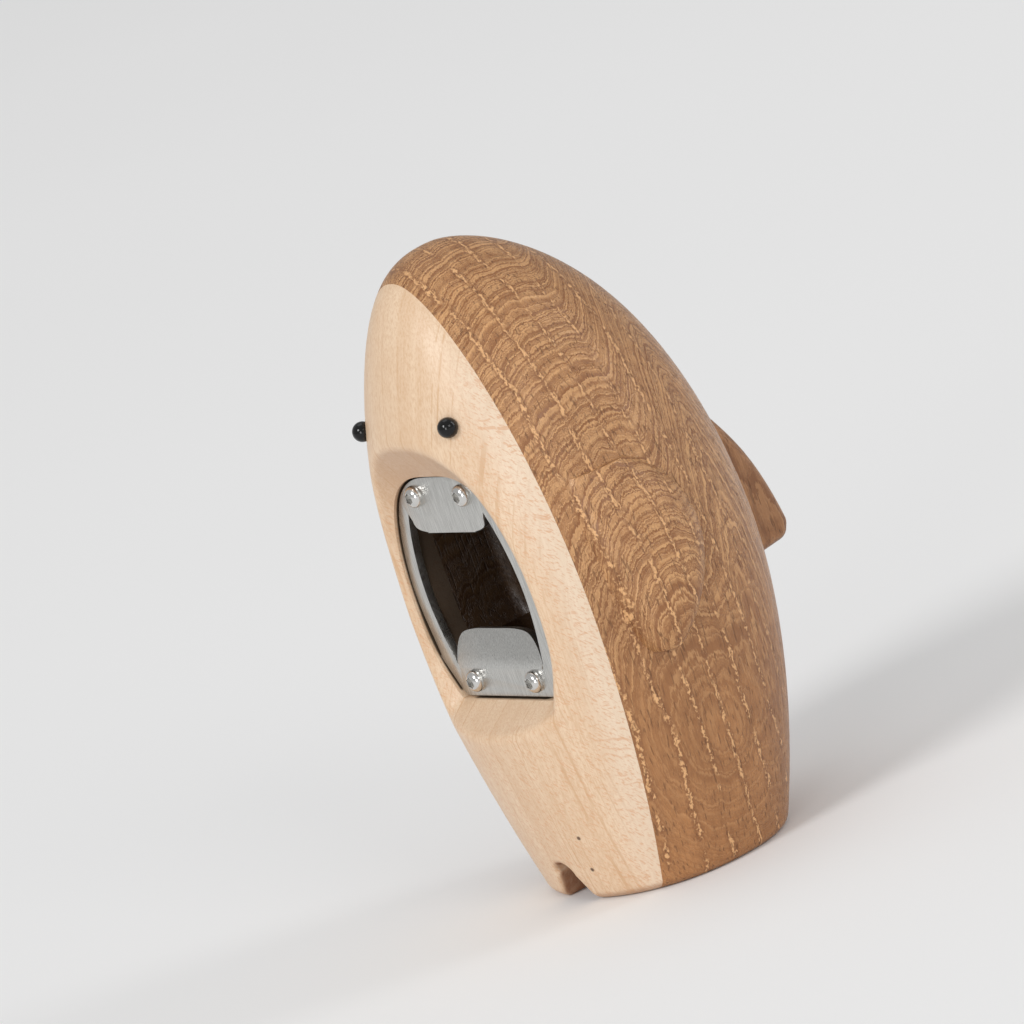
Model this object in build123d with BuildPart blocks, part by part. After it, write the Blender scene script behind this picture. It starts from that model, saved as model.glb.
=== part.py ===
"""A wooden bottle opener in the shape of a shark that stands on its tail.

The shark looks along -Y and its left flank is on +X. Z is up, and the origin is where the
body's upright axis meets the flat base. All sizes are in millimetres.
"""
import os
from math import cos, pi, radians, sin, sqrt

from build123d import *

# ---- driving dimensions: body ----
body_height = 92.6
widest_height = 40.9        # the height of the widest section
half_width = 23.8           # at the widest section
front_depth = 23.3
back_depth = 26.2
snout_lean = 3.5            # how far the top of the head leans forward
base_half_width = 18.8
base_front_depth = 16.6
base_back_depth = 15.0
squareness = 2.2            # exponent of each section's outline, where 2 is an ellipse
outline_points = 32
base_rounding = 1.8
seam_y = -11.7              # the flat joint between the maple front and the oak back

# ---- driving dimensions: mouth and plate ----
plate_front_y = -15.8
plate_thickness = 1.2
plate_bottom = 30.4
plate_top = 62.9
plate_corner = 1.4
seat_size = 1.02            # the seat's size over the plate's, a gap of 0.3 all round
seat_wall = 0.6             # how far the seat's wall stands in front of the plate
flare_reach = 12.0          # the depth over which the mouth's flare grows to flare_size
flare_size = 1.85
flare_centre_z = 41.0       # the flare opens more above this height than below it
mouth_centre_z = 46.6
cavity_back_y = -2.0
cavity_width = 25.6
cavity_height = 23.6
cavity_centre_z = 46.2
cavity_corner = 7.0
cavity_rounding = 2.0       # round the cavity's floor
lip_relief = (22.6, 6.4)    # a wider foot of the cavity, which clears the lip's root
lip_relief_z = 37.5
lip_bend = 12.0             # degrees that the lifting lip leans forward
lip_root = 35.2

# ---- driving dimensions: screws and eyes ----
screw_radius = 1.0
screw_length = 9.0
screw_head_radius = 1.6
screw_head_height = 1.15
screw_head_rim = 0.3        # the height of the head's upright rim
screw_head_shoulder = (1.25, 0.93)
screw_head_flat = 0.85      # the radius of the head's flat top
socket_across_flats = 1.5
socket_depth = 0.75
upper_screw = (6.2, 60.2)
lower_screw = (7.6, 32.7)
eye_radius = 1.45
eye_x = 11.0
eye_z = 70.4
eye_proud = 0.45            # the bead's centre stands this far outside the wood
eye_pin_radius = 0.5
eye_pin_length = 5.0

# ---- driving dimensions: fins and tail ----
fin_thickness = 5.0
fin_rounding = 1.7
fin_tip_corner = 2.0
tenon_thickness = 3.0
tenon_back_y = 18.0
tenon_depth = 9.0
tenon_centre_z = 46.0
tenon_height = 15.0
flipper_lift = 4.3          # how far the flipper's tip stands off the flank
flipper_top = 61.0
flipper_tip = 32.0
flipper_half_width = 8.6
flipper_centre_y = -4.4
flipper_sweep = 4.0
flipper_shoulder = 2.7      # exponent of the flipper's section, where 2 is an ellipse
flipper_root = 1.5          # how deep the flipper's skirt goes into the flank
flipper_stations = 16       # the number of level sections in the flipper's loft
flipper_side_points = 12    # the steps across each of those sections
flipper_tip_share = 0.2     # the share of the flipper's length over which its tip rounds off
notch_height = 6.0
notch_top_half = 1.9
notch_foot_half = 4.0
notch_back_y = -8.5
notch_rounding = 0.8
notch_rim_y = -13.0         # the notch's rim edges are in front of this


def section(z):
    """The half-width, front depth, back depth and centre of the body's section at height z."""
    if z > widest_height:
        rise = (z - widest_height) / (body_height - widest_height)
        fall = sqrt(1 - rise**2)
        sizes = (half_width * fall**1.14, front_depth * fall**0.86, back_depth * fall**1.07)
        return *sizes, -snout_lean * rise**5
    drop = (widest_height - z) / widest_height
    return (
        half_width - (half_width - base_half_width) * drop**2.25,
        front_depth - (front_depth - base_front_depth) * drop**1.3,
        back_depth - (back_depth - base_back_depth) * drop**1.8,
        0.0,
    )


def section_points(z):
    """Points round the body's section at height z, from the middle of the back."""
    half, front, back, centre = section(z)
    points = []
    for step in range(outline_points):
        angle = 2 * pi * step / outline_points + pi / 2
        across = abs(cos(angle)) ** (2 / squareness) * half
        depth = abs(sin(angle)) ** (2 / squareness) * (back if sin(angle) > 0 else front)
        x = across if cos(angle) > 0 else -across
        y = centre + (depth if sin(angle) > 0 else -depth)
        points.append((x, y))
    return points


def section_heights():
    """Even steps from the base to the widest section, then closer and closer to the crown."""
    lower = [widest_height * step / 6 for step in range(6)]
    upper = [
        widest_height + (body_height - widest_height) * sin(radians(89.4) * step / 13)
        for step in range(14)
    ]
    return lower + upper


def body_sections():
    """The body's level sections, from the base to the crown."""
    sections = []
    for z in section_heights():
        with BuildSketch(Plane.XY.offset(z)) as level:
            with BuildLine():
                Spline(section_points(z), periodic=True)
            make_face()
        sections.append(level.sketch)
    return sections


def front_y(x, z):
    """The y of the body's front surface."""
    half, front, _, centre = section(z)
    return centre - front * (1 - (abs(x) / half) ** squareness) ** (1 / squareness)


def side_x(y, z):
    """The half-width of the body's flank at y."""
    half, front, back, centre = section(z)
    depth = back if y > centre else front
    return half * (1 - (abs(y - centre) / depth) ** squareness) ** (1 / squareness)


def flipper_sections():
    """Level sections of the left flipper, which swells out of the flank towards its tip."""
    sections = []
    for step in range(1, flipper_stations + 1):
        along = (step / (flipper_stations + 1)) ** 1.3 + 0.003
        z = flipper_tip + (flipper_top - flipper_tip) * along
        half = flipper_half_width * sin(pi * along**1.25) ** 0.45
        centre = flipper_centre_y + flipper_sweep * sin(pi * along)
        tip_round = sqrt(1 - (1 - min(along / flipper_tip_share, 1)) ** 2)
        lift = flipper_lift * (1 - along) ** 0.5 * (0.35 + 0.65 * tip_round)
        points = []
        for turn in range(flipper_side_points + 1):
            across = -cos(pi * turn / flipper_side_points)
            swell = (1 - abs(across) ** flipper_shoulder) ** (1 / flipper_shoulder)
            y = centre + half * across
            points.append((side_x(y, z) - flipper_root + (lift + flipper_root) * swell, y))
        with BuildSketch(Plane.XY.offset(z)) as level:
            with BuildLine():
                Spline(points)
                Line(points[-1], points[0])
            make_face()
        sections.append(level.sketch)
    return sections


def plate_outline(size=1.0, centre_z=mouth_centre_z):
    """The plate's outline, seen from the front, made larger by size about (0, centre_z)."""
    lower_side = [(11.6, plate_bottom), (14.6, 36.5), (15.5, 44.0)]
    upper_side = [(14.9, 50.5), (13.1, 56.0), (10.2, 60.2), (6.2, plate_top - 0.5)]
    side = lower_side + upper_side
    far_side = [(-x, z) for x, z in reversed(side)]
    with BuildSketch() as outline:
        with BuildLine():
            arch = Spline(side + [(0, plate_top)] + far_side, tangents=((0.55, 1), (0.55, -1)))
            Line(arch @ 1, arch @ 0)
        make_face()
        fillet(outline.vertices(), plate_corner)
    return scale(outline.sketch, by=size, about=(0, centre_z), mode=Mode.PRIVATE)


def upright(depth):
    """An upright plane that faces forwards at y = depth, with local x and y along X and Z."""
    return Plane.XZ.offset(-depth)


def eye_plane(x):
    """The plane of an eye, with its origin at the bead's centre and its z along the surface's normal."""
    step = 0.01
    slope_x = (front_y(x + step, eye_z) - front_y(x - step, eye_z)) / (2 * step)
    slope_z = (front_y(x, eye_z + step) - front_y(x, eye_z - step)) / (2 * step)
    outward = Vector(slope_x, -1, slope_z).normalized()
    centre = Vector(x, front_y(x, eye_z), eye_z) + outward * eye_proud
    return Plane(origin=centre, z_dir=outward)


def on_notch_rim(edge):
    """True for the edges that the notch makes in the body's front and base."""
    middle = edge.center()
    beside = abs(middle.X) < notch_foot_half + 0.5 and middle.Z < notch_height + 1
    return beside and middle.Y < notch_rim_y and edge.length > notch_rounding


def on_fin_side(edge):
    """True for the edges round the dorsal fin's two flat sides."""
    return abs(abs(edge.center().X) - fin_thickness / 2) < 0.01


def save(part, name):
    """Label a finished piece and write it."""
    part.label = name
    export_step(part, f"parts/{name}.step")


# the shark's own left is on +X
screw_places = {
    "plate_screw_upper_left": upper_screw,
    "plate_screw_upper_right": (-upper_screw[0], upper_screw[1]),
    "plate_screw_lower_left": lower_screw,
    "plate_screw_lower_right": (-lower_screw[0], lower_screw[1]),
}
screw_centres = [(x, z) for x, z in screw_places.values()]
plate_back_y = plate_front_y + plate_thickness
os.makedirs("parts", exist_ok=True)

# ---- the opener plate: a stamped sheet with a bearing tongue above and a lifting lip below ----
lip_lean = Vector(0, -1, 0).rotate(Axis.X, -lip_bend)
lip_plane = Plane(origin=(0, plate_front_y, lip_root), x_dir=(1, 0, 0), z_dir=lip_lean)

with BuildPart() as opener_plate:
    with BuildSketch(upright(plate_back_y)):
        add(plate_outline())
        with BuildLine():
            rail = Spline(
                (11.1, lip_root), (12.2, 39.8), (12.75, 45.0), (12.2, 50.5), (10.9, 55.0), (9.75, 57.6)
            )
            cusp = Line(rail @ 1, (9.25, 56.6))
            Spline(cusp @ 1, (8.35, 55.3), (6.2, 54.85), (0, 54.75), tangents=((0, -1), (-1, 0)))
            Line((0, lip_root), rail @ 0)
            mirror(about=Plane.YZ)
        make_face(mode=Mode.SUBTRACT)
    extrude(amount=plate_thickness)
    with BuildSketch(lip_plane):
        with BuildLine():
            lip_side = Polyline((0, -0.7), (10.6, -0.7), (11.0, 0.3))
            lip_corner = [(10.2, 2.6), (8.6, 4.3), (6.2, 4.85), (0, 5.0)]
            Spline(lip_side @ 1, *lip_corner, tangents=((-0.2, 1), (-1, 0)))
            mirror(about=Plane.YZ)
        make_face()
    extrude(amount=-plate_thickness)
    with BuildSketch(upright(plate_back_y)):
        with Locations(*screw_centres):
            Circle(screw_radius)
    extrude(amount=plate_thickness, mode=Mode.SUBTRACT)
save(opener_plate.part, "opener_plate")

# ---- one button-head screw, standing on its tip, and its four places ----
with BuildPart() as screw:
    with BuildSketch(Plane.XZ):
        with BuildLine():
            point = Line((0, -screw_length), (screw_radius, screw_radius - screw_length))
            shank = Polyline(point @ 1, (screw_radius, 0), (screw_head_radius, 0))
            rim = Line(shank @ 1, (screw_head_radius, screw_head_rim))
            crown = ThreePointArc(rim @ 1, screw_head_shoulder, (screw_head_flat, screw_head_height))
            Polyline(crown @ 1, (0, screw_head_height), (0, -screw_length))
        make_face()
    revolve(axis=Axis.Z)
    with BuildSketch(Plane.XY.offset(screw_head_height)):
        RegularPolygon(socket_across_flats / 2, 6, major_radius=False)
    extrude(amount=-socket_depth, mode=Mode.SUBTRACT)

for name, (x, z) in screw_places.items():
    save(Plane(origin=(x, plate_front_y, z), z_dir=(0, -1, 0)).location * screw.part, name)

# ---- the eyes: glossy beads, each on a pin ----
eyes = {}
for name, x in (("eye_left", eye_x), ("eye_right", -eye_x)):
    with BuildPart(eye_plane(x)) as eye:
        Sphere(eye_radius)
        with Locations((0, 0, -eye_pin_length / 2)):
            Cylinder(eye_pin_radius, eye_pin_length)
    eyes[name] = eye.part
    save(eye.part, name)

# ---- the carved body, before it is cut at the seam ----
with BuildPart() as body:
    loft(body_sections())
    fillet(body.edges().group_by(Axis.Z)[0], base_rounding)

# ---- what is cut from the wood behind the plate: the seat and flare, the cavity, the screw holes ----
with BuildPart() as mouth:
    with BuildSketch(upright(plate_back_y)):
        add(plate_outline(seat_size))
    extrude(amount=plate_thickness + seat_wall)
    seat_rim = upright(plate_front_y - seat_wall)
    with BuildSketch(seat_rim) as throat:
        add(plate_outline(seat_size))
    with BuildSketch(seat_rim.offset(flare_reach)) as gape:
        add(plate_outline(flare_size, flare_centre_z))
    loft([throat.sketch, gape.sketch])
    split(bisect_by=Plane.YZ)
    mirror(about=Plane.YZ)

with BuildPart() as cavity:
    with BuildSketch(upright(cavity_back_y)):
        with Locations((0, cavity_centre_z)):
            RectangleRounded(cavity_width, cavity_height, cavity_corner)
        with Locations((0, lip_relief_z)):
            Rectangle(*lip_relief)
    extrude(amount=cavity_back_y - plate_back_y)
    fillet(cavity.faces().sort_by(Axis.Y)[-1].edges(), cavity_rounding)
    with BuildSketch(upright(plate_front_y + screw_length)):
        with Locations(*screw_centres):
            Circle(screw_radius)
    extrude(amount=screw_length - plate_thickness)

with BuildPart() as notch:
    with BuildSketch(upright(notch_back_y)):
        with BuildLine():
            flank = Line((notch_foot_half, -0.1), (notch_top_half, notch_height - notch_top_half))
            ThreePointArc(flank @ 1, (0, notch_height), (-notch_top_half, notch_height - notch_top_half))
            Line((-notch_top_half, notch_height - notch_top_half), (-notch_foot_half, -0.1))
            Line((-notch_foot_half, -0.1), flank @ 0)
        make_face()
    extrude(amount=front_depth)

# ---- the maple front ----
with BuildPart() as front_body:
    add(body.part)
    split(bisect_by=upright(seam_y))
    add([mouth.part, cavity.part, notch.part, *eyes.values()], mode=Mode.SUBTRACT)
    fillet(front_body.edges().filter_by(on_notch_rim), notch_rounding)
save(front_body.part, "front_body")

# ---- the oak back, with both flippers carved from the same block ----
with BuildPart() as flippers:
    loft(flipper_sections())
    mirror(about=Plane.YZ)

with BuildPart() as tenon:
    with BuildSketch(Plane.XZ.offset(-tenon_back_y)):
        with Locations((0, tenon_centre_z)):
            Rectangle(tenon_thickness, tenon_height)
    extrude(amount=-tenon_depth)

with BuildPart() as back_body:
    add(body.part)
    split(bisect_by=upright(seam_y), keep=Keep.BOTTOM)
    add(flippers.part)
    add([cavity.part, notch.part, tenon.part], mode=Mode.SUBTRACT)
save(back_body.part, "back_body")

# ---- the dorsal fin, seated on the back with a tenon ----
with BuildPart() as dorsal_fin:
    with BuildSketch(Plane.YZ.offset(-fin_thickness / 2)):
        with BuildLine():
            leading = Spline((20.5, 66.0), (28.0, 54.6), (32.0, 47.4), (34.3, 40.0), (35.1, 35.4))
            trailing = Line(leading @ 1, (34.1, 33.3))
            Polyline(trailing @ 1, (20.0, 31.6), leading @ 0)
        make_face()
        fillet(vertices().sort_by(Axis.X)[-2:], fin_tip_corner)
    extrude(amount=fin_thickness)
    fillet(dorsal_fin.edges().filter_by(on_fin_side).sort_by(Axis.Y)[2:], fin_rounding)
    add(body.part, mode=Mode.SUBTRACT)
    add(tenon.part)
save(dorsal_fin.part, "dorsal_fin")
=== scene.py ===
"""A wooden shark bottle opener: its finishes, its eased edges and a plain studio."""

from math import cos, hypot, pi, radians, sin

import bmesh
import bpy
from mathutils import Matrix, Vector
from mathutils.kdtree import KDTree


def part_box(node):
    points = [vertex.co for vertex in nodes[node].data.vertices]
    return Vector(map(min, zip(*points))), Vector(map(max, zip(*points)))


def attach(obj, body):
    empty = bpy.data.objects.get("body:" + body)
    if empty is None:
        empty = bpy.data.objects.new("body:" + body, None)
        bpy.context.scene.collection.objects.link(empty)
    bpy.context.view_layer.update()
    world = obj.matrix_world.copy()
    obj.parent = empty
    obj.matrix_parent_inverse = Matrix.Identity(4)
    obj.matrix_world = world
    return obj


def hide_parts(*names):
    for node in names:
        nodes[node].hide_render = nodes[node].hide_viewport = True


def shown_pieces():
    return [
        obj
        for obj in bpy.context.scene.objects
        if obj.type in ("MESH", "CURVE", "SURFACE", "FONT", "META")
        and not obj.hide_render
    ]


MM = 0.001

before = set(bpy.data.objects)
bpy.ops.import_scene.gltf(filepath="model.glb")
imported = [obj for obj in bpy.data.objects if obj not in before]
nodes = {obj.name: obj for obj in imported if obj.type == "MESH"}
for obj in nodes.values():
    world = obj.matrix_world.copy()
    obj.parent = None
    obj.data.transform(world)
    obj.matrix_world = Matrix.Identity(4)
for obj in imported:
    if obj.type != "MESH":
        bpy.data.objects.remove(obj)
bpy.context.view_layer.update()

# ---- places worked out from the frame, in metres ----
plate_low, plate_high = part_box("opener_plate")
eye_low, eye_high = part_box("eye_left")
eye_centre = (eye_low + eye_high) / 2

# ---- places in the wood, in millimetres ----
KNOTS = ((7.5, -17.8, 10.1), (6.6, -16.9, 5.0))     # two pin knots low on the left flank
NOTCH_HALF = 4.0            # half the tail notch's width at its foot
NOTCH_TAPER = 0.51          # how fast that narrows with height
NOTCH_TOP = 6.0
CAVITY_BACK_Y = -2.0
SEAT_PAST_SIDES = 0.8       # how far the plate's seat reaches past its sides
SEAT_PAST_ENDS = 0.7        # and past its ends
RAY_GAP = 4.3               # from one upright ray in the oak to the next
RAYS_FADE_FROM, RAYS_FADE_TO = 11.0, 18.0   # towards the back, where the cut runs along them
ARCH_Y, ARCH_Z = 2.0, 18.0  # what the growth layers arch round

# ---- how the edges are finished, in metres ----
CRISP_ANGLE = radians(32)   # edges that turn by more than this stay crisp
RIDGE_ANGLE = radians(14)   # edges round the mouth that turn by more than this are eased
RIM_ANGLE = radians(60)     # the plate's punched edges turn by more than this
RIDGE_REACH = 1.1 * MM      # how far from the ridge its easing starts
RIDGE_FINE = 0.32 * MM      # the longest mesh edge within that reach
RIDGE_SPACING = 0.1 * MM    # between the points taken along the ridge
RIDGE_SPREAD = 0.6 * MM     # how much farther than its nearest point a vertex looks for others
EYE_CLEARANCE = 4 * MM      # the ridge is left alone this near to an eye's axis
MOUTH_BELOW, MOUTH_ABOVE = 8 * MM, 9 * MM   # how far the mouth reaches past the plate's ends
MOUTH_DEPTH = 0.9 * MM      # how far before the plate the ridge starts
PLATE_BREAK = 0.2 * MM      # how far the plate's punched edges are broken

# ---- the studio, in metres ----
MIDDLE = Vector((0, 0, 0.046))      # the middle of the shark, which the camera and the lights face
FLOOR_HALF = 6.0


# =====================================================================================
# Finishes
# =====================================================================================
class Finish:
    """A material in the making, measured in millimetres: each call gives a new node's output."""

    def __init__(self, name):
        self.material = bpy.data.materials.new(name)
        self.material.use_nodes = True
        self.tree = self.material.node_tree
        self.shader = self.tree.nodes["Principled BSDF"]
        place = self.tree.nodes.new("ShaderNodeTexCoord").outputs["Object"]
        self.place = self.vector("SCALE", place, scale=1 / MM)
        split = self.tree.nodes.new("ShaderNodeSeparateXYZ")
        self.feed(split.inputs[0], self.place)
        self.x, self.y, self.z = split.outputs

    def feed(self, socket, value):
        """Link an output to a socket, or set the socket's own value."""
        if isinstance(value, bpy.types.NodeSocket):
            self.tree.links.new(value, socket)
        else:
            socket.default_value = value

    def set(self, **values):
        """Set or link the shader's own sockets, such as roughness=0.4."""
        for name, value in values.items():
            self.feed(self.shader.inputs[name.replace("_", " ").title().replace("Ior", "IOR")], value)

    def vector(self, operation, first, second=None, scale=None):
        node = self.tree.nodes.new("ShaderNodeVectorMath")
        node.operation = operation
        self.feed(node.inputs[0], first)
        if second is not None:
            self.feed(node.inputs[1], second)
        if scale is not None:
            self.feed(node.inputs["Scale"], scale)
        return node.outputs["Value" if operation in ("DISTANCE", "LENGTH") else "Vector"]

    def combined(self, *terms):
        """A vector of three values, each a value or a (value, factor) pair."""
        node = self.tree.nodes.new("ShaderNodeCombineXYZ")
        for socket, term in zip(node.inputs, terms):
            self.feed(socket, self.sum(term))
        return node.outputs[0]

    def math(self, operation, first, second=None, third=None):
        node = self.tree.nodes.new("ShaderNodeMath")
        node.operation = operation
        for socket, value in zip(node.inputs, (first, second, third)):
            if value is not None:
                self.feed(socket, value)
        return node.outputs[0]

    def sum(self, *terms):
        """The sum of terms, each a value or a (value, factor) pair."""
        total = None
        for term in terms:
            value, factor = term if isinstance(term, tuple) else (term, 1.0)
            if total is None:
                total = self.math("MULTIPLY", value, factor)
            else:
                total = self.math("MULTIPLY_ADD", value, factor, total)
        return total

    def product(self, first, *factors):
        """Values multiplied together, in order."""
        for factor in factors:
            first = self.math("MULTIPLY", first, factor)
        return first

    def absolute(self, value):
        return self.math("ABSOLUTE", value)

    def noise_at(self, vector, scale, detail=2.0, roughness=0.5, distortion=0.0):
        """Cloudy noise from 0 to 1 over a vector, with scale in lumps per unit of it."""
        node = self.tree.nodes.new("ShaderNodeTexNoise")
        self.feed(node.inputs["Vector"], vector)
        node.inputs["Scale"].default_value = scale
        node.inputs["Detail"].default_value = detail
        node.inputs["Roughness"].default_value = roughness
        node.inputs["Distortion"].default_value = distortion
        return node.outputs["Fac"]

    def noise(self, lumps, shift=(0.0, 0.0, 0.0), detail=2.0, roughness=0.5):
        """Cloudy noise from 0 to 1, with so many lumps per millimetre along x, y and z."""
        stretched = self.vector("ADD", self.vector("MULTIPLY", self.place, lumps), shift)
        return self.noise_at(stretched, 1.0, detail, roughness)

    def layers(self, along, scale, detail=2.0, roughness=0.5):
        """Noise that changes in one direction only, as growth layers do."""
        node = self.tree.nodes.new("ShaderNodeTexNoise")
        node.noise_dimensions = "1D"
        self.feed(node.inputs["W"], along)
        node.inputs["Scale"].default_value = scale
        node.inputs["Detail"].default_value = detail
        node.inputs["Roughness"].default_value = roughness
        return node.outputs["Fac"]

    def step(self, value, low, high, start=0.0, end=1.0):
        """A soft step from start to end, as the value goes from low to high."""
        node = self.tree.nodes.new("ShaderNodeMapRange")
        node.interpolation_type = "SMOOTHSTEP"
        self.feed(node.inputs["Value"], value)
        for name, number in (("From Min", low), ("From Max", high), ("To Min", start), ("To Max", end)):
            node.inputs[name].default_value = number
        return node.outputs["Result"]

    def mix(self, factor, first, second):
        """A colour between two, each an output or (red, green, blue)."""
        node = self.tree.nodes.new("ShaderNodeMix")
        node.data_type = "RGBA"
        self.feed(node.inputs[0], factor)
        for socket, value in ((node.inputs[6], first), (node.inputs[7], second)):
            self.feed(socket, (*value, 1.0) if isinstance(value, tuple) else value)
        return node.outputs[2]

    def facing(self, axis):
        """How far the surface faces along an axis, from -1 to 1."""
        split = self.tree.nodes.new("ShaderNodeSeparateXYZ")
        self.feed(split.inputs[0], self.tree.nodes.new("ShaderNodeNewGeometry").outputs["Normal"])
        return split.outputs[axis]

    def bump(self, height, depth, strength):
        """Relief whose full height is depth millimetres."""
        node = self.tree.nodes.new("ShaderNodeBump")
        node.inputs["Strength"].default_value = strength
        node.inputs["Distance"].default_value = depth * MM
        self.feed(node.inputs["Height"], height)
        self.feed(self.shader.inputs["Normal"], node.outputs["Normal"])


def shaded(colour, share):
    """A colour made darker or lighter by a factor."""
    return tuple(part * share for part in colour)


def painted_recess_shade(wood):
    """One on the walls beside the plate and in the cavity behind it: painted shade where little light gets
    in.
    """
    middle_z = (plate_low.z + plate_high.z) / 2 / MM
    half_x = (plate_high.x - plate_low.x) / 2 / MM + SEAT_PAST_SIDES
    half_z = (plate_high.z - plate_low.z) / 2 / MM + SEAT_PAST_ENDS
    plate_y = plate_low.y / MM
    across = wood.math("POWER", wood.absolute(wood.sum((wood.x, 1 / half_x))), 4.0)
    level = wood.math("POWER", wood.absolute(wood.sum((wood.z, 1 / half_z), -middle_z / half_z)), 4.0)
    inside = wood.step(wood.math("ADD", across, level), 1.0, 1.06, 1.0, 0.0)
    behind = wood.step(wood.y, plate_y - 0.15, plate_y + 0.15)
    before_back = wood.step(wood.y, CAVITY_BACK_Y + 0.1, CAVITY_BACK_Y + 0.4, 1.0, 0.0)
    return wood.product(inside, behind, before_back)


def ray_streaks(oak, turn):
    """The oak's upright rays: their light strands, the shade beside them, and the sag between two."""
    wander = oak.noise((0.16, 0.16, 0.06))
    shake = oak.noise((0.8, 0.8, 1.1), (4, 1, 7), roughness=0.6)
    across = oak.sum(oak.y, (wander, 2.4), (shake, 0.9), (oak.z, 0.045))
    cell = oak.math("FRACT", oak.math("DIVIDE", across, RAY_GAP))
    sag = oak.math("SINE", oak.product(cell, pi))

    # each ray is broken into dashes, and each dash into strands
    dashes = oak.step(oak.noise((0.25, 0.25, 0.30), (1, 4, turn), 3.0, 0.6), 0.38, 0.5)
    strands = oak.step(oak.noise((1.0, 2.6, 1.5), (6, 4, turn), roughness=0.6), 0.42, 0.56)
    breadth = oak.noise((0.9, 0.9, 1.3), (2, 2, turn), 1.0)
    beside = oak.sum(oak.math("PINGPONG", across, RAY_GAP / 2), (breadth, -0.8), 0.38)

    strand_fade = oak.step(oak.y, RAYS_FADE_FROM, RAYS_FADE_TO, 1.0, 0.12)
    shade_fade = oak.step(oak.y, RAYS_FADE_FROM, RAYS_FADE_TO, 1.0, 0.2)
    streak = oak.product(oak.step(beside, 0.08, 0.36, 1.0, 0.0), dashes, strands, strand_fade)
    shade = oak.product(oak.step(beside, 0.25, 0.7, 1.0, 0.0), dashes, shade_fade)
    return streak, shade, sag


def growth_layers(oak, turn, behind, high, sag, fibre, grain):
    """Where the growth layers show light, and where dark. They arch over each flank."""
    centre = oak.vector("ADD", oak.vector("MULTIPLY", oak.place, (0.0, 1.0, 1.0)), (0.0, -ARCH_Y, -ARCH_Z))
    arch = oak.product(oak.vector("LENGTH", centre), oak.sum((behind, 0.30), -0.44))
    drift = oak.noise((0.03, 0.05, 0.03), (turn, 0, 0))
    ripple = oak.noise((0.22, 0.22, 0.22), (3, turn, 0), 4.0, 0.62)
    width = oak.absolute(oak.sum(oak.x, (drift, 2.0), -1.0))
    layer = oak.sum(width, arch, (drift, 3.0), (ripple, 1.5), (sag, 0.36), (fibre, 0.7), (grain, 0.35))

    bands = oak.layers(layer, 1.6, 1.0)
    lines = oak.layers(layer, 4.2, 2.0, 0.7)
    worn = oak.noise((0.45, 0.45, 0.40), (0, 7, turn), 4.0, 0.65)
    clear = oak.sum((lines, 1.0), (bands, 0.55), (worn, 0.5), (high, 0.07), (fibre, 0.1))
    murky = oak.sum((lines, 1.0), (bands, 0.7), (worn, 0.3), (high, -0.06))
    return oak.step(clear, 0.98, 1.36), oak.step(murky, 1.04, 0.76)


def oak_finish(name, base, light, dark, turn=0.0):
    """Oiled oak: growth layers, upright ray streaks, fine fibre and open pores."""
    oak = Finish(name)
    behind = oak.step(oak.y, 4.0, 15.0)
    high = oak.step(oak.z, 20.0, 44.0)
    fibre = oak.noise((4.0, 4.0, 0.16), (0, 0, turn), 3.0, 0.65)
    grain = oak.noise((1.5, 1.5, 0.07), (6, 3, turn), 3.0, 0.6)
    pores = oak.step(oak.noise((3.0, 3.0, 0.30), (5, turn, 1), 1.0), 0.61, 0.71)
    patches = oak.noise((0.08, 0.08, 0.05), (turn, 2, 5), 3.0, 0.55)
    mottle = oak.noise((0.4, 0.4, 0.28), (8, turn, 2), 5.0, 0.66)
    streak, shade, sag = ray_streaks(oak, turn)
    figure, gloom = growth_layers(oak, turn, behind, high, sag, fibre, grain)
    straight = oak.product(oak.step(grain, 0.44, 0.62), oak.sum((behind, 0.45), 0.22))

    colour = oak.mix(oak.step(patches, 0.3, 0.7), base, shaded(base, 0.82))
    colour = oak.mix(oak.step(mottle, 0.42, 0.75, 0.0, 0.45), colour, dark)
    colour = oak.mix(oak.product(gloom, oak.sum((high, 0.45), 0.22)), colour, dark)
    colour = oak.mix(straight, colour, dark)
    colour = oak.mix(oak.product(figure, oak.sum((high, 0.55), 0.22)), colour, light)
    colour = oak.mix(oak.product(shade, 0.62), colour, dark)
    colour = oak.mix(oak.step(fibre, 0.35, 0.8, 0.0, 0.42), colour, dark)
    colour = oak.mix(oak.product(streak, 0.85), colour, shaded(light, 1.15))
    colour = oak.mix(oak.product(pores, 0.55), colour, shaded(dark, 0.55))
    # painted shade, near black, on the walls beside the plate and in the cavity behind it
    colour = oak.mix(oak.product(painted_recess_shade(oak), 0.93), colour, (0.012, 0.006, 0.003))
    oak.set(base_color=colour, roughness=oak.sum((fibre, 0.16), (pores, 0.2), 0.22))
    oak.set(specular_ior_level=0.42)
    oak.bump(oak.sum((figure, 0.35), (streak, 0.6), (pores, -1.0), (fibre, 0.5), (gloom, -0.3)), 0.05, 0.9)
    return oak.material


def notch_painted_shade(maple):
    """How much painted shade darkens the wood inside the tail notch, unevenly."""
    side = maple.sum((maple.absolute(maple.x), 1.0), (maple.z, NOTCH_TAPER))
    within = maple.step(side, NOTCH_HALF - 0.05, NOTCH_HALF + 0.3, 1.0, 0.0)
    below = maple.step(maple.z, NOTCH_TOP, NOTCH_TOP + 0.3, 1.0, 0.0)
    cloud = maple.noise((0.9, 0.9, 0.5), (3, 1, 2), 3.0, 0.6)
    return maple.product(maple.product(within, below), maple.step(cloud, 0.3, 0.6, 0.7, 1.0))


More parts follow.
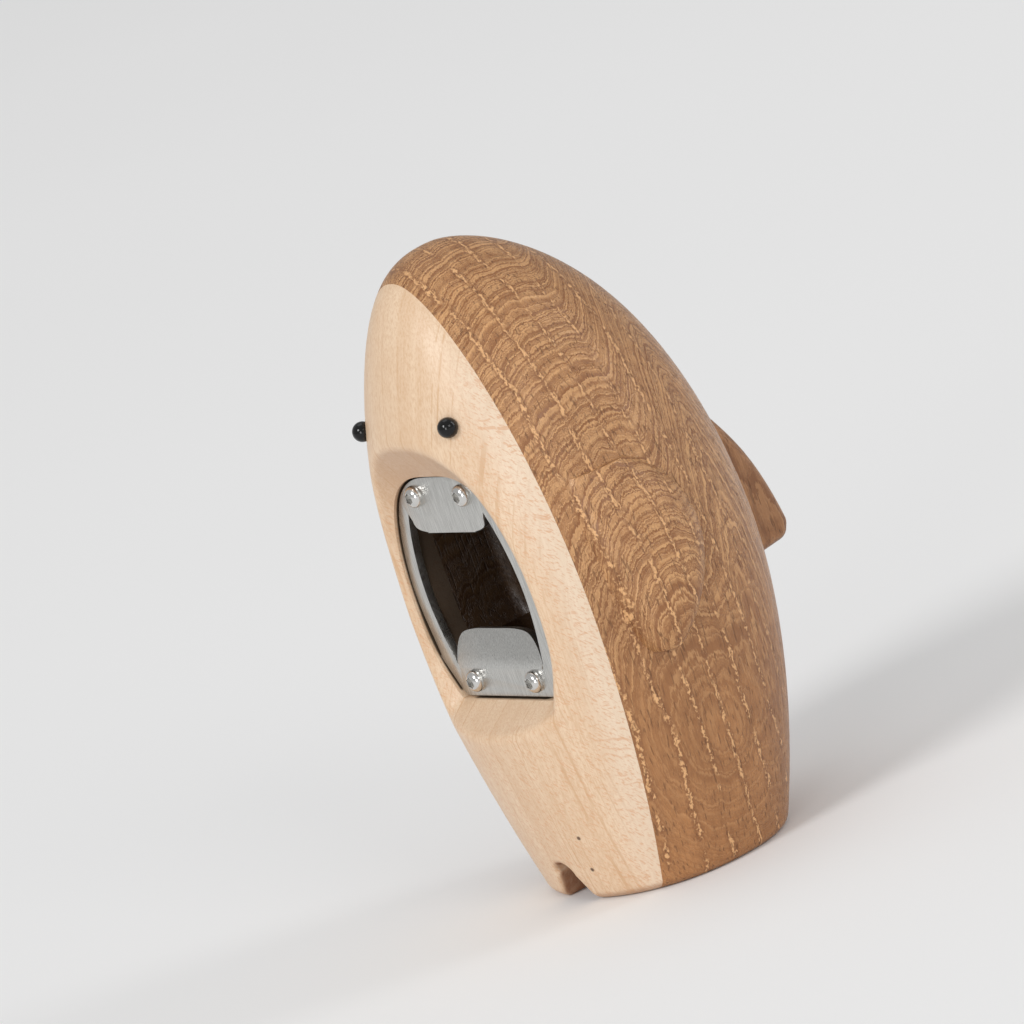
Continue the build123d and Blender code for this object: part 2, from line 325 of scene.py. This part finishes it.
def maple_finish():
    """Oiled maple: upright hair lines on the face, and small warm flecks on the flanks."""
    maple = Finish("maple_oiled")
    cream = (0.79, 0.60, 0.425)
    tan = (0.62, 0.385, 0.215)
    rose = (0.66, 0.36, 0.195)
    # pale: the maple's paler tone by the seam, with a painted sheen on top
    pale = (0.82, 0.68, 0.535)
    flank = maple.step(maple.absolute(maple.x), 9.0, 15.0)
    low = maple.step(maple.z, 34.0, 22.0, 0.0, 1.0)
    by_seam = maple.product(maple.step(maple.y, -16.8, -12.8), flank)
    # painted shade on surfaces that face downwards, such as the mouth's roof
    downward_painted_shade = maple.step(maple.facing("Z"), -0.12, -0.7)

    # broad bands and hair lines that run up the face
    drift = maple.noise((0.05, 0.05, 0.02))
    slant = maple.sum(maple.x, (maple.z, -0.06), (drift, 4.0))
    bands = maple.layers(slant, 0.36, 1.0)
    hairs = maple.layers(slant, 1.1, 3.0, 0.72)
    broken = maple.noise((0.8, 0.8, 0.10))
    hair = maple.product(maple.step(hairs, 0.55, 0.66), maple.step(broken, 0.36, 0.58))
    fibre = maple.noise((4.0, 4.0, 0.45), detail=4.0, roughness=0.7)
    cloud = maple.noise((0.22, 0.22, 0.12), (4, 4, 4), 3.0)

    # short flecks across the grain on the flanks and the tail
    lean = maple.sum(maple.z, (maple.x, 0.55), (maple.y, 0.8))
    fleck_place = maple.combined((maple.x, 1.7), (maple.y, 1.7), (lean, 3.6))
    fleck = maple.step(maple.noise_at(fleck_place, 1.0, 1.5, 0.55, 0.5), 0.53, 0.66)
    fleck = maple.product(fleck, maple.math("MAXIMUM", flank, low))

    # level bars beside the seam
    wave = maple.noise((0.25, 0.25, 0.12))
    level = maple.sum(maple.z, (maple.y, 0.3), (wave, 3.0))
    bars = maple.step(maple.layers(level, 1.35, 2.0, 0.7), 0.53, 0.66)
    bar_gaps = maple.step(maple.noise((0.5, 0.9, 0.2), (2, 9, 4)), 0.44, 0.58)
    bar = maple.product(bars, bar_gaps, by_seam)

    colour = maple.mix(maple.step(bands, 0.35, 0.7, 0.0, 0.26), cream, tan)
    colour = maple.mix(maple.step(cloud, 0.4, 0.75, 0.0, 0.25), colour, tan)
    colour = maple.mix(maple.product(hair, 0.75), colour, tan)
    colour = maple.mix(maple.step(fibre, 0.38, 0.68, 0.0, 0.6), colour, tan)
    # lighter beside the seam: partly the maple's own paler tone, partly a painted sheen
    colour = maple.mix(maple.product(by_seam, 0.6), colour, pale)
    colour = maple.mix(maple.product(fleck, 0.62), colour, rose)
    colour = maple.mix(maple.product(bar, 0.6), colour, rose)
    # painted shade, a dark brown, where the surface faces downwards
    colour = maple.mix(maple.product(downward_painted_shade, 0.55), colour, (0.40, 0.205, 0.105))
    # painted shade, a dark reddish brown, inside the tail notch
    colour = maple.mix(notch_painted_shade(maple), colour, (0.30, 0.13, 0.06))
    for knot in KNOTS:
        gap = maple.vector("DISTANCE", maple.place, knot)
        colour = maple.mix(maple.step(gap, 0.18, 0.42, 0.9, 0.0), colour, (0.07, 0.03, 0.015))
    # painted shade, near black, on the walls beside the plate and in the cavity behind it
    colour = maple.mix(maple.product(painted_recess_shade(maple), 0.93), colour, (0.02, 0.01, 0.005))
    maple.set(base_color=colour, roughness=maple.sum((fibre, 0.14), 0.30), specular_ior_level=0.42)
    maple.bump(maple.sum((fibre, 0.7), (fleck, -0.5), (hair, -0.5)), 0.02, 0.8)
    return maple.material


def brushed_steel():
    """Stainless sheet, brushed almost upright."""
    steel = Finish("steel_brushed")
    brush = steel.noise((14.0, 14.0, 0.35), detail=3.0, roughness=0.65)
    smear = steel.noise((0.35, 0.35, 0.16))
    shade = steel.mix(steel.step(brush, 0.25, 0.75), (0.40, 0.395, 0.375), (0.74, 0.735, 0.71))
    steel.set(base_color=shade, metallic=1.0, roughness=steel.sum((brush, 0.16), (smear, 0.14), 0.16))
    steel.bump(brush, 0.006, 0.6)
    return steel.material


def bright_steel():
    """Turned and polished stainless, with faint turning marks."""
    steel = Finish("steel_bright")
    marks = steel.noise((3.0, 9.0, 3.0))
    steel.set(base_color=(0.70, 0.69, 0.67, 1), metallic=1.0, roughness=steel.sum((marks, 0.14), 0.09))
    steel.bump(marks, 0.003, 0.5)
    return steel.material


def polished_bead():
    """Black glass-like beads with a little dust in the polish."""
    bead = Finish("bead_black")
    dust = bead.noise_at(bead.place, 2.2, 3.0)
    bead.set(base_color=bead.mix(dust, (0.002, 0.002, 0.0025), (0.008, 0.0075, 0.0075)))
    bead.set(roughness=bead.sum((dust, 0.06), 0.05), specular_ior_level=0.3)
    bead.set(coat_weight=0.1, coat_roughness=0.03)
    return bead.material


def floor_finish():
    """A matt pale grey floor, very slightly clouded."""
    floor = Finish("floor_pale")
    cloud = floor.noise_at(floor.place, 0.004)
    floor.set(base_color=floor.mix(cloud, (0.88, 0.88, 0.88), (0.895, 0.895, 0.895)))
    floor.set(roughness=0.9, specular_ior_level=0.0)
    return floor.material


# =====================================================================================
# Pieces
# =====================================================================================
def merged_copy(node):
    """A bmesh of a CAD node, with its loose triangles joined."""
    work = bmesh.new()
    work.from_mesh(nodes[node].data)
    bmesh.ops.remove_doubles(work, verts=work.verts, dist=0.001 * MM)
    return work


def finished(work, name, node):
    """Turn a bmesh into the piece that stands for a CAD node, crisp where faces meet sharply."""
    for face in work.faces:
        face.smooth = True
    for edge in work.edges:
        edge.smooth = len(edge.link_faces) == 2 and edge.calc_face_angle() < CRISP_ANGLE
    mesh = bpy.data.meshes.new(name)
    work.to_mesh(mesh)
    work.free()
    piece = bpy.data.objects.new(name, mesh)
    bpy.context.scene.collection.objects.link(piece)
    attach(piece, "root")
    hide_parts(node)


def points_along(edges, spacing):
    """Points along some edges, each with the normal and the slope of the ridge there."""
    points = []
    for edge in edges:
        first, second = (vertex.co.copy() for vertex in edge.verts)
        normal = (edge.link_faces[0].normal + edge.link_faces[1].normal).normalized()
        slope = sin(edge.calc_face_angle() / 2)
        count = max(2, int((second - first).length / spacing))
        for number in range(count + 1):
            points.append((first.lerp(second, number / count), normal, slope))
    return points


def make_finer(work, tree, reach, longest):
    """Halve the mesh's long edges near the points in a tree, up to nine times."""
    for _ in range(9):
        long_edges = []
        for edge in work.edges:
            length = edge.calc_length()
            middle = (edge.verts[0].co + edge.verts[1].co) / 2
            if length > longest and tree.find(middle)[2] < reach + length / 2:
                long_edges.append(edge)
        if not long_edges:
            break
        bmesh.ops.subdivide_edges(work, edges=long_edges, cuts=1)
        bmesh.ops.triangulate(work, faces=[face for face in work.faces if len(face.verts) > 3])


def ease_edges(work, chosen):
    """Round the chosen edges: the mesh is made finer beside them and drawn in by a parabola."""
    points = points_along(chosen, RIDGE_SPACING)
    tree = KDTree(len(points))
    for number, (place, _, _) in enumerate(points):
        tree.insert(place, number)
    tree.balance()
    make_finer(work, tree, RIDGE_REACH, RIDGE_FINE)

    moves = {}
    for vertex in work.verts:
        distance = tree.find(vertex.co)[2]
        if distance < RIDGE_REACH:
            near = [points[number] for _, number, _ in tree.find_range(vertex.co, distance + RIDGE_SPREAD)]
            normal = sum((item[1] for item in near), Vector()).normalized()
            slope = sum(item[2] for item in near) / len(near)
            moves[vertex] = -normal * slope * RIDGE_REACH / 2 * (1 - distance / RIDGE_REACH) ** 2
    for vertex, move in moves.items():
        vertex.co += move


def maple_front():
    """The maple front, with the ridge round the mouth eased."""
    work = merged_copy("front_body")
    ridge = []
    for edge in work.edges:
        middle = (edge.verts[0].co + edge.verts[1].co) / 2
        in_front = max(vertex.co.y for vertex in edge.verts) < plate_low.y - MOUTH_DEPTH
        by_eye = hypot(abs(middle.x) - eye_centre.x, middle.z - eye_centre.z) < EYE_CLEARANCE
        at_mouth = plate_low.z - MOUTH_BELOW < middle.z < plate_high.z + MOUTH_ABOVE
        if in_front and at_mouth and not by_eye and len(edge.link_faces) == 2:
            if edge.calc_face_angle() > RIDGE_ANGLE:
                ridge.append(edge)
    ease_edges(work, ridge)
    finished(work, "maple_front", "front_body")


def steel_plate():
    """The opener plate, with its punched front edges broken."""
    work = merged_copy("opener_plate")
    bmesh.ops.dissolve_limit(work, angle_limit=radians(1.0), verts=work.verts, edges=work.edges)
    rim = []
    for edge in work.edges:
        if len(edge.link_faces) == 2 and edge.calc_face_angle() > RIM_ANGLE:
            if any(face.normal.y < -0.9 for face in edge.link_faces):
                rim.append(edge)
    bmesh.ops.bevel(
        work, geom=rim, offset=PLATE_BREAK, segments=3, profile=0.5, affect="EDGES", material=-1,
        offset_type="OFFSET", clamp_overlap=True,
    )
    finished(work, "steel_plate", "opener_plate")


# =====================================================================================
# Studio
# =====================================================================================
def towards(azimuth, elevation):
    """The direction at an azimuth from the shark's front, round to its left, and an elevation."""
    turn, rise = radians(azimuth), radians(elevation)
    return Vector((sin(turn) * cos(rise), -cos(turn) * cos(rise), sin(rise)))


def studio_floor():
    """A wide pale floor at the height of the shark's base."""
    work = bmesh.new()
    bmesh.ops.create_grid(work, x_segments=1, y_segments=1, size=FLOOR_HALF)
    mesh = bpy.data.meshes.new("studio_floor")
    work.to_mesh(mesh)
    work.free()
    floor = bpy.data.objects.new("studio_floor", mesh)
    bpy.context.scene.collection.objects.link(floor)
    mesh.materials.append(floor_finish())


def softbox(name, direction, distance, width, height, watts):
    """A rectangular light in a direction from the shark's middle, which it faces."""
    light = bpy.data.lights.new(name, "AREA")
    light.shape = "RECTANGLE"
    light.size = width
    light.size_y = height
    light.energy = watts
    lamp = bpy.data.objects.new(name, light)
    lamp.location = MIDDLE + direction * distance
    lamp.rotation_euler = (MIDDLE - lamp.location).to_track_quat("-Z", "Y").to_euler()
    bpy.context.scene.collection.objects.link(lamp)


def far_key(name, direction, spread, strength):
    """A soft light so far away that it falls evenly on the floor."""
    light = bpy.data.lights.new(name, "SUN")
    light.angle = radians(spread)
    light.energy = strength
    lamp = bpy.data.objects.new(name, light)
    lamp.rotation_euler = direction.to_track_quat("Z", "Y").to_euler()
    bpy.context.scene.collection.objects.link(lamp)


def studio_lights():
    """A far key in front, softboxes round the shark and a plain white room."""
    far_key("key", towards(12, 36), 18.0, 1.05)
    softbox("fill", towards(86, 24), 3.4, 1.2, 1.2, 14.0)
    softbox("strip", towards(38, 7), 1.3, 0.34, 0.5, 3.0)
    softbox("rim", towards(142, 24), 2.2, 0.5, 1.6, 8.0)
    softbox("top", towards(250, 78), 2.8, 1.6, 1.6, 7.0)
    world = bpy.data.worlds.new("room")
    bpy.context.scene.world = world
    world.use_nodes = True
    world.node_tree.nodes["Background"].inputs["Color"].default_value = (1.0, 1.0, 1.0, 1.0)
    world.node_tree.nodes["Background"].inputs["Strength"].default_value = 0.48


def studio_camera():
    """A long lens, turned about its own axis so that the standing shark leans in the frame."""
    azimuth, elevation, roll = 59.51, 11.605, radians(19.785)
    distance, lens = 0.9, 229.2
    aim_left, aim_up = 0.00706, 0.00478     # where it looks, off the middle of the shark
    back = towards(azimuth, elevation)
    right = Vector((cos(radians(azimuth)), sin(radians(azimuth)), 0))
    up = back.cross(right)
    across = right * cos(roll) - up * sin(roll)
    upward = right * sin(roll) + up * cos(roll)
    place = MIDDLE + back * distance
    aim = MIDDLE - across * aim_left + upward * aim_up
    toward = (place - aim).normalized()
    across = upward.cross(toward).normalized()
    upward = toward.cross(across)
    camera = bpy.data.objects.new("camera", bpy.data.cameras.new("camera"))
    camera.data.lens = lens
    camera.data.clip_start = 0.05
    camera.data.clip_end = 50
    turned = Matrix((across, upward, toward)).transposed().to_4x4()
    camera.matrix_world = Matrix.Translation(place) @ turned
    bpy.context.scene.collection.objects.link(camera)
    bpy.context.scene.camera = camera


# =====================================================================================
# Everything together
# =====================================================================================
maple_front()
steel_plate()

body_oak = oak_finish("oak_oiled", (0.46, 0.212, 0.080), (0.72, 0.41, 0.19), (0.225, 0.09, 0.034))
fin_oak = oak_finish("oak_fin", (0.37, 0.17, 0.070), (0.48, 0.25, 0.115), (0.22, 0.092, 0.037), 11.0)

# each finish goes to the pieces whose names start with its key
finishes = {
    "maple_front": maple_finish(),
    "back_body": body_oak,
    "dorsal_fin": fin_oak,
    "steel_plate": brushed_steel(),
    "plate_screw": bright_steel(),
    "eye": polished_bead(),
}
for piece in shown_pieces():
    for start, finish in finishes.items():
        if piece.name.startswith(start):
            piece.data.materials.clear()
            piece.data.materials.append(finish)

studio_floor()
studio_camera()
studio_lights()
bpy.context.scene.view_settings.view_transform = "Standard"
